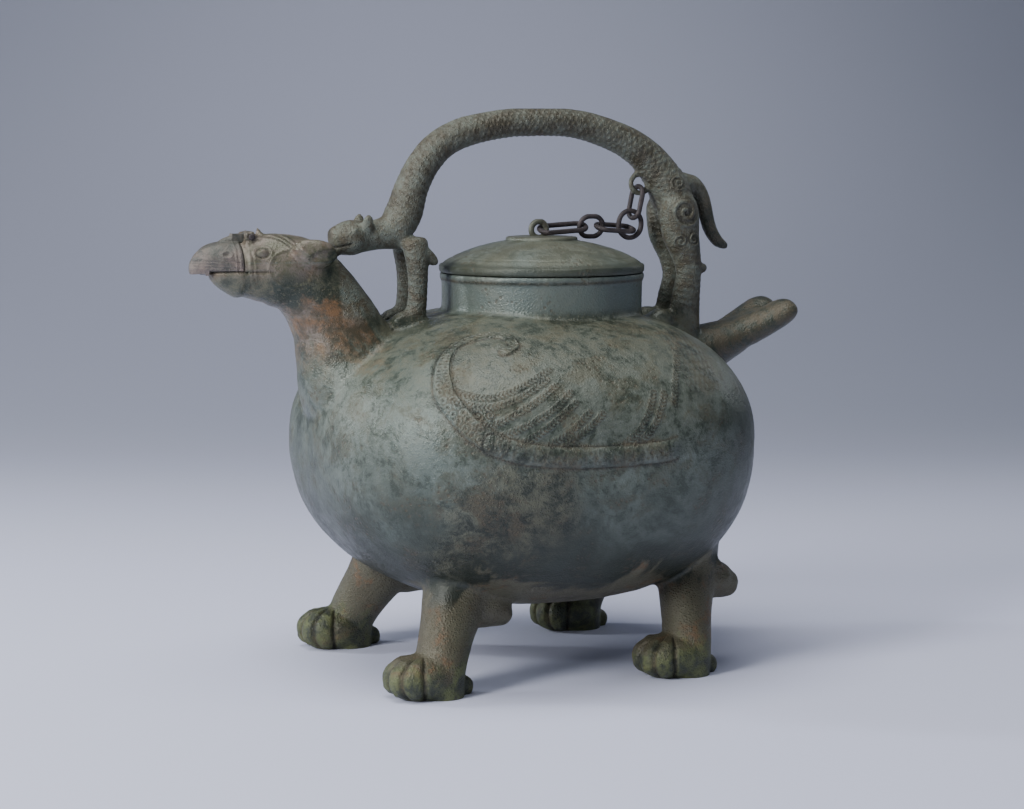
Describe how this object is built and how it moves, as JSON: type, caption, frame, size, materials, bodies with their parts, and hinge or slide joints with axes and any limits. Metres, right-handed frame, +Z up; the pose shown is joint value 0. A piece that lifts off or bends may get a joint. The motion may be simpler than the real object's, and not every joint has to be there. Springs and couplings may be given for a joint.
{
  "type": "bird-shaped bronze he vessel",
  "caption": "Hollow bird-shaped pouring vessel on four clawed legs, with a hinged beak spout, a domed lid on a chain and a feline bail handle.",
  "frame": {"origin": "under the middle of the bounding box, on the surface that the four paws stand on", "axes": "+Z up, the bird faces -X, Y runs across its wings"},
  "size_m": [0.3016, 0.2062, 0.262],
  "materials": {
    "body_patina": "cast bronze with a grey-green patina, brown on neck and legs",
    "lid_patina": "cast bronze with an olive patina",
    "beak_patina": "cast bronze with a brown patina",
    "chain_patina": "dark oxidised bronze"
  },
  "bodies": {
    "vessel": {"vessel": "body_patina", "bird_head": "body_patina", "hinge_pin": "chain_patina", "lid": "lid_patina", "chain_link_1": "chain_patina", "chain_link_2": "chain_patina", "chain_link_3": "chain_patina", "chain_link_4": "chain_patina", "chain_link_5": "chain_patina"},
    "beak": {"upper_beak": "beak_patina"}
  },
  "joints": [
    {"name": "beak_hinge", "type": "hinge", "parent": "vessel", "child": "beak", "pos_m": [-0.12331, 0, 0.2042], "axis": [0, 1, 0], "range_deg": [0, 60]}
  ]
}
